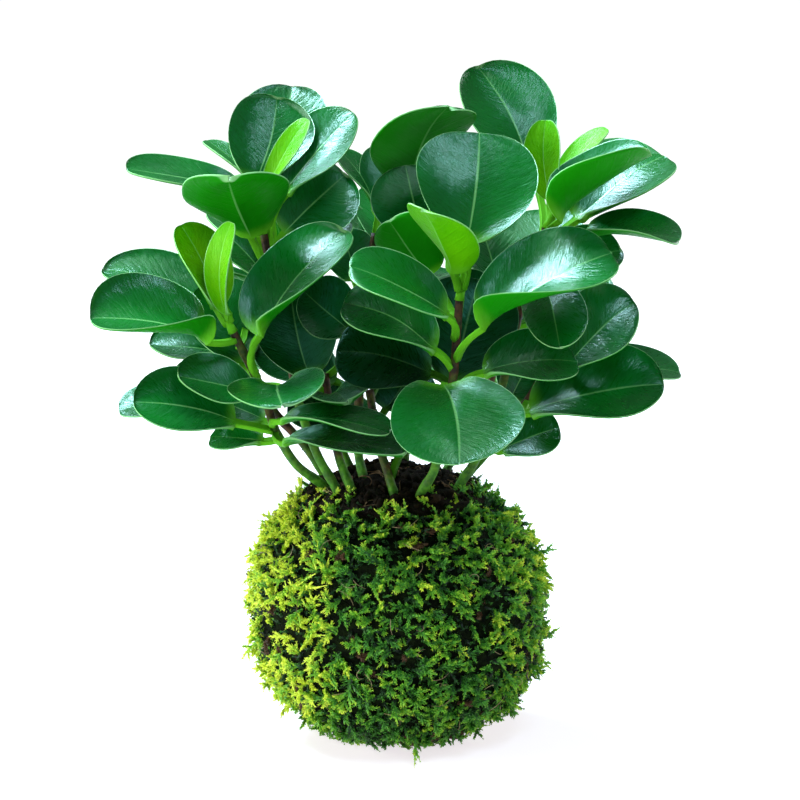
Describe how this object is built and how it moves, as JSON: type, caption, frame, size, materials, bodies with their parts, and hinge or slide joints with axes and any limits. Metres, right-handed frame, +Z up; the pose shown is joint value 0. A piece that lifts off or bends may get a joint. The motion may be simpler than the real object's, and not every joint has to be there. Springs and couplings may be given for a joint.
{
  "type": "kokedama moss ball plant",
  "caption": "Leafy houseplant with thick spoon-shaped leaves growing from a free-standing ball of soil wrapped in living moss.",
  "frame": {"origin": "middle of the flat spot under the moss ball", "axes": "+Z up along the plant's height, -Y towards the front of the plant, +X to the right"},
  "size_m": [0.2316, 0.1759, 0.2699],
  "materials": {
    "moss": "living moss, rough and matt",
    "soil": "damp crumbly potting soil",
    "leaf": "thick waxy leaf, glossy above and satin below",
    "young_leaf": "soft young leaf, satin"
  },
  "bodies": {
    "root": {"moss_cover": "moss", "soil_ball": "soil", "left_leafy_stem": "leaf", "left_young_shoot": "young_leaf", "top_left_leafy_stem": "leaf", "top_left_young_shoot": "young_leaf", "low_left_leafy_stem": "leaf", "front_leafy_stem": "leaf", "centre_leafy_stem": "leaf", "centre_young_shoot": "young_leaf", "forked_leafy_stem": "leaf", "back_centre_leafy_stem": "leaf", "right_leafy_stem": "leaf", "right_young_shoot": "young_leaf", "low_right_leafy_stem": "leaf", "back_left_leafy_stem": "leaf", "back_middle_leafy_stem": "leaf", "back_right_leafy_stem": "leaf"}
  },
  "joints": []
}
